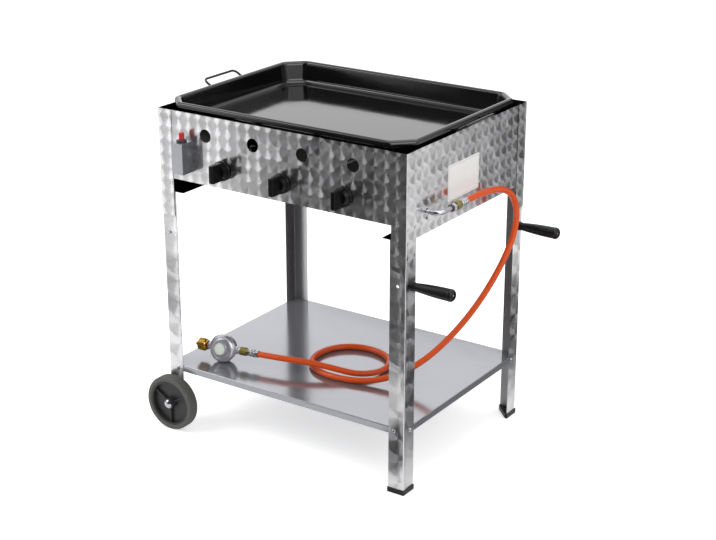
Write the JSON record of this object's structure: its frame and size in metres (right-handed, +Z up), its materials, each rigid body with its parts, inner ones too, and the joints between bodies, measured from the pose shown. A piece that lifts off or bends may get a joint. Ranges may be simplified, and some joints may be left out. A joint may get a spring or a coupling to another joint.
{
  "type": "gas griddle on a trolley",
  "caption": "Gas griddle with a black enamel pan in a steel box, push-and-turn burner taps, igniter, hose and regulator, on an open trolley with shelf, wheels and grips.",
  "frame": {"origin": "on the ground under the middle of the part's extent, hose and regulator left out", "axes": "+X to the right, where the grips and the gas inlet are; +Y to the back, away from the knobs; +Z up"},
  "size_m": [0.7982, 0.5904, 0.7893],
  "materials": {
    "spot_polished_steel": "engine-turned spot-polished stainless sheet",
    "bright_steel": "plain bright stainless sheet",
    "plated_steel": "bright zinc-plated steel",
    "galvanised_steel": "dull galvanised steel",
    "black_enamel": "gloss black vitreous enamel on steel",
    "black_plastic": "smooth black plastic",
    "black_cap_plastic": "matt black plastic",
    "red_plastic": "glossy red plastic",
    "tyre_rubber": "dark grey solid rubber",
    "orange_rubber": "smooth orange rubber hose",
    "brass": "machined brass",
    "zinc_casting": "satin die-cast zinc",
    "ceramic": "white glazed ceramic with a steel tip",
    "lead_rubber": "black insulated lead"
  },
  "bodies": {
    "trolley": {"leg_front_left": "spot_polished_steel", "leg_front_right": "spot_polished_steel", "leg_rear_left": "spot_polished_steel", "leg_rear_right": "spot_polished_steel", "shelf": "bright_steel", "shelf_screws": "plated_steel", "handle_front": "black_plastic", "handle_rear": "black_plastic", "handle_bolts": "plated_steel", "foot_caps": "black_cap_plastic", "axle_bolts": "plated_steel", "wheel_caps": "plated_steel"},
    "wheel_front": {"wheel_front_hub": "black_cap_plastic", "wheel_front_tyre": "tyre_rubber"},
    "wheel_rear": {"wheel_rear_hub": "black_cap_plastic", "wheel_rear_tyre": "tyre_rubber"},
    "griddle": {"post_front_left": "spot_polished_steel", "post_front_right": "spot_polished_steel", "post_rear_left": "spot_polished_steel", "post_rear_right": "spot_polished_steel", "front_panel": "spot_polished_steel", "rear_panel": "spot_polished_steel", "side_panel_left": "spot_polished_steel", "side_panel_right": "spot_polished_steel", "pan_rails": "galvanised_steel", "burner_rails": "galvanised_steel", "burner_left": "galvanised_steel", "burner_middle": "galvanised_steel", "burner_right": "galvanised_steel", "manifold": "galvanised_steel", "inlet_pipe": "plated_steel", "inlet_union": "plated_steel", "injectors": "brass", "tap_body_left": "zinc_casting", "tap_body_middle": "zinc_casting", "tap_body_right": "zinc_casting", "igniter_housing": "spot_polished_steel", "igniter_body": "black_plastic", "electrode": "ceramic", "ignition_lead": "lead_rubber", "gas_hose": "orange_rubber", "hose_nuts": "brass", "hose_ferrules": "plated_steel", "regulator_body": "zinc_casting", "regulator_cover": "zinc_casting", "bottle_spigot": "brass"},
    "pan": {"pan": "black_enamel", "pan_handle_left": "black_enamel", "pan_handle_right": "black_enamel"},
    "plug_left": {"tap_plug_left": "brass"},
    "plug_middle": {"tap_plug_middle": "brass"},
    "plug_right": {"tap_plug_right": "brass"},
    "knob_left": {"spindle_left": "plated_steel", "knob_left": "black_plastic"},
    "knob_middle": {"spindle_middle": "plated_steel", "knob_middle": "black_plastic"},
    "knob_right": {"spindle_right": "plated_steel", "knob_right": "black_plastic"},
    "igniter_button": {"igniter_button": "red_plastic"},
    "bottle_nut": {"bottle_nut": "brass"}
  },
  "joints": [
    {"name": "griddle_lift", "type": "slide", "parent": "trolley", "child": "griddle", "axis": [0, 0, 1], "range_m": [0, 0.15]},
    {"name": "pan_lift", "type": "slide", "parent": "griddle", "child": "pan", "axis": [0, 0, 1], "range_m": [0, 0.12]},
    {"name": "wheel_front_spin", "type": "hinge", "parent": "trolley", "child": "wheel_front", "pos_m": [-0.3336, -0.2632, 0.0655], "axis": [0, 1, 0], "continuous": true},
    {"name": "wheel_rear_spin", "type": "hinge", "parent": "trolley", "child": "wheel_rear", "pos_m": [-0.3336, 0.2728, 0.0655], "axis": [0, 1, 0], "continuous": true},
    {"name": "tap_left_turn", "type": "hinge", "parent": "griddle", "child": "plug_left", "pos_m": [-0.1705, -0.2272, 0.655], "axis": [0, -1, 0], "range_deg": [0, 180]},
    {"name": "knob_left_push", "type": "slide", "parent": "plug_left", "child": "knob_left", "axis": [0, 1, 0], "range_m": [0, 0.004], "stiffness_N_per_m": 700, "springref_m": -0.001},
    {"name": "tap_middle_turn", "type": "hinge", "parent": "griddle", "child": "plug_middle", "pos_m": [-0.0115, -0.2272, 0.655], "axis": [0, -1, 0], "range_deg": [0, 180]},
    {"name": "knob_middle_push", "type": "slide", "parent": "plug_middle", "child": "knob_middle", "axis": [0, 1, 0], "range_m": [0, 0.004], "stiffness_N_per_m": 700, "springref_m": -0.001},
    {"name": "tap_right_turn", "type": "hinge", "parent": "griddle", "child": "plug_right", "pos_m": [0.1475, -0.2272, 0.655], "axis": [0, -1, 0], "range_deg": [0, 180]},
    {"name": "knob_right_push", "type": "slide", "parent": "plug_right", "child": "knob_right", "axis": [0, 1, 0], "range_m": [0, 0.004], "stiffness_N_per_m": 700, "springref_m": -0.001},
    {"name": "igniter_press", "type": "slide", "parent": "griddle", "child": "igniter_button", "axis": [0, 0, -1], "range_m": [0, 0.006], "stiffness_N_per_m": 900, "springref_m": -0.001},
    {"name": "bottle_nut_spin", "type": "hinge", "parent": "griddle", "child": "bottle_nut", "pos_m": [-0.30569, -0.1744, 0.18635], "axis": [0.9848, 0.1736, 0], "continuous": true}
  ]
}
